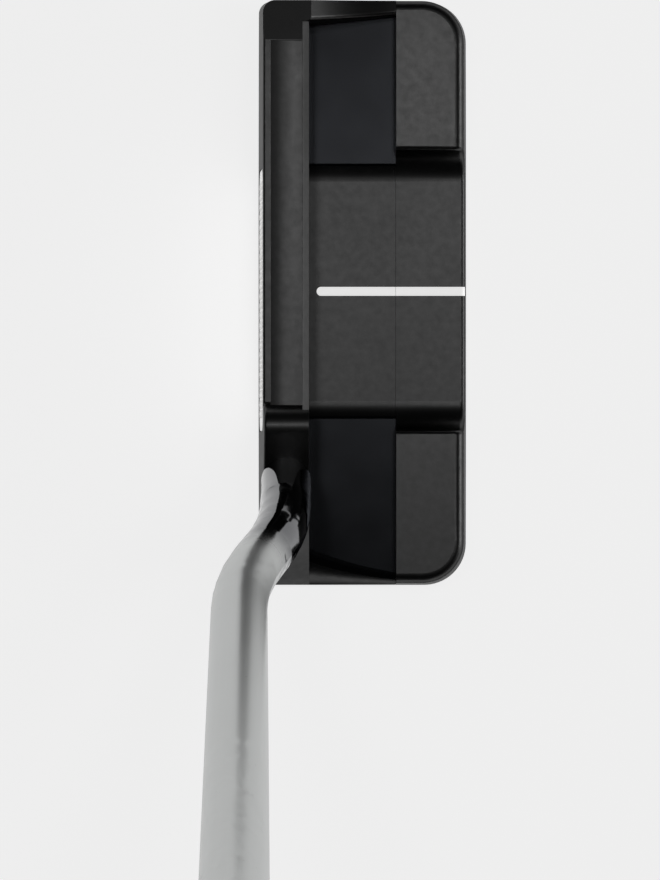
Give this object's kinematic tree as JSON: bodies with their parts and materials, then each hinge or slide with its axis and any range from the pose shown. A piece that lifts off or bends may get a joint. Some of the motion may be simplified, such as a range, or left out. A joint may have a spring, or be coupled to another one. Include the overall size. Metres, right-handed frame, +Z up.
{
  "type": "mallet putter",
  "caption": "Right-handed wide-blade mallet putter: black two-piece head with a white sight line, chrome double-bend shaft over a post, and a pistol grip.",
  "frame": {"origin": "on the flat of the sole, under the sight line, midway between the face and the back", "axes": "+X from the face to the back, +Y from the heel to the toe, +Z up from the sole; the shaft leans towards -Y"},
  "size_m": [0.0526, 0.3995, 0.8152],
  "materials": {
    "head_black": "satin",
    "flange_black": "satin",
    "insert_white": "matte",
    "bond_amber": "satin",
    "sight_white": "satin",
    "weight_steel": "brushed",
    "washer_black": "matte",
    "screw_steel": "satin",
    "dowel_steel": "brushed",
    "shaft_chrome": "polished",
    "plug_cork": "matte",
    "tape_tan": "matte",
    "grip_core_black": "matte",
    "grip_black": "matte",
    "grip_trim": "satin"
  },
  "bodies": {
    "root": {"head_body": "head_black", "rear_flange": "flange_black", "face_insert": "insert_white", "insert_bond": "bond_amber", "sight_line_front": "sight_white", "sight_line_rear": "sight_white", "sole_weight_toe": "weight_steel", "sole_weight_heel": "weight_steel", "weight_washer_toe": "washer_black", "weight_washer_heel": "washer_black", "flange_screws": "screw_steel", "flange_dowels": "dowel_steel", "flange_bond": "bond_amber", "shaft": "shaft_chrome", "shaft_epoxy": "bond_amber", "tip_plug": "plug_cork", "grip_tape": "tape_tan", "grip_core": "grip_core_black", "grip_skin": "grip_black", "grip_collar": "grip_trim", "grip_cap": "grip_trim"}
  },
  "joints": []
}
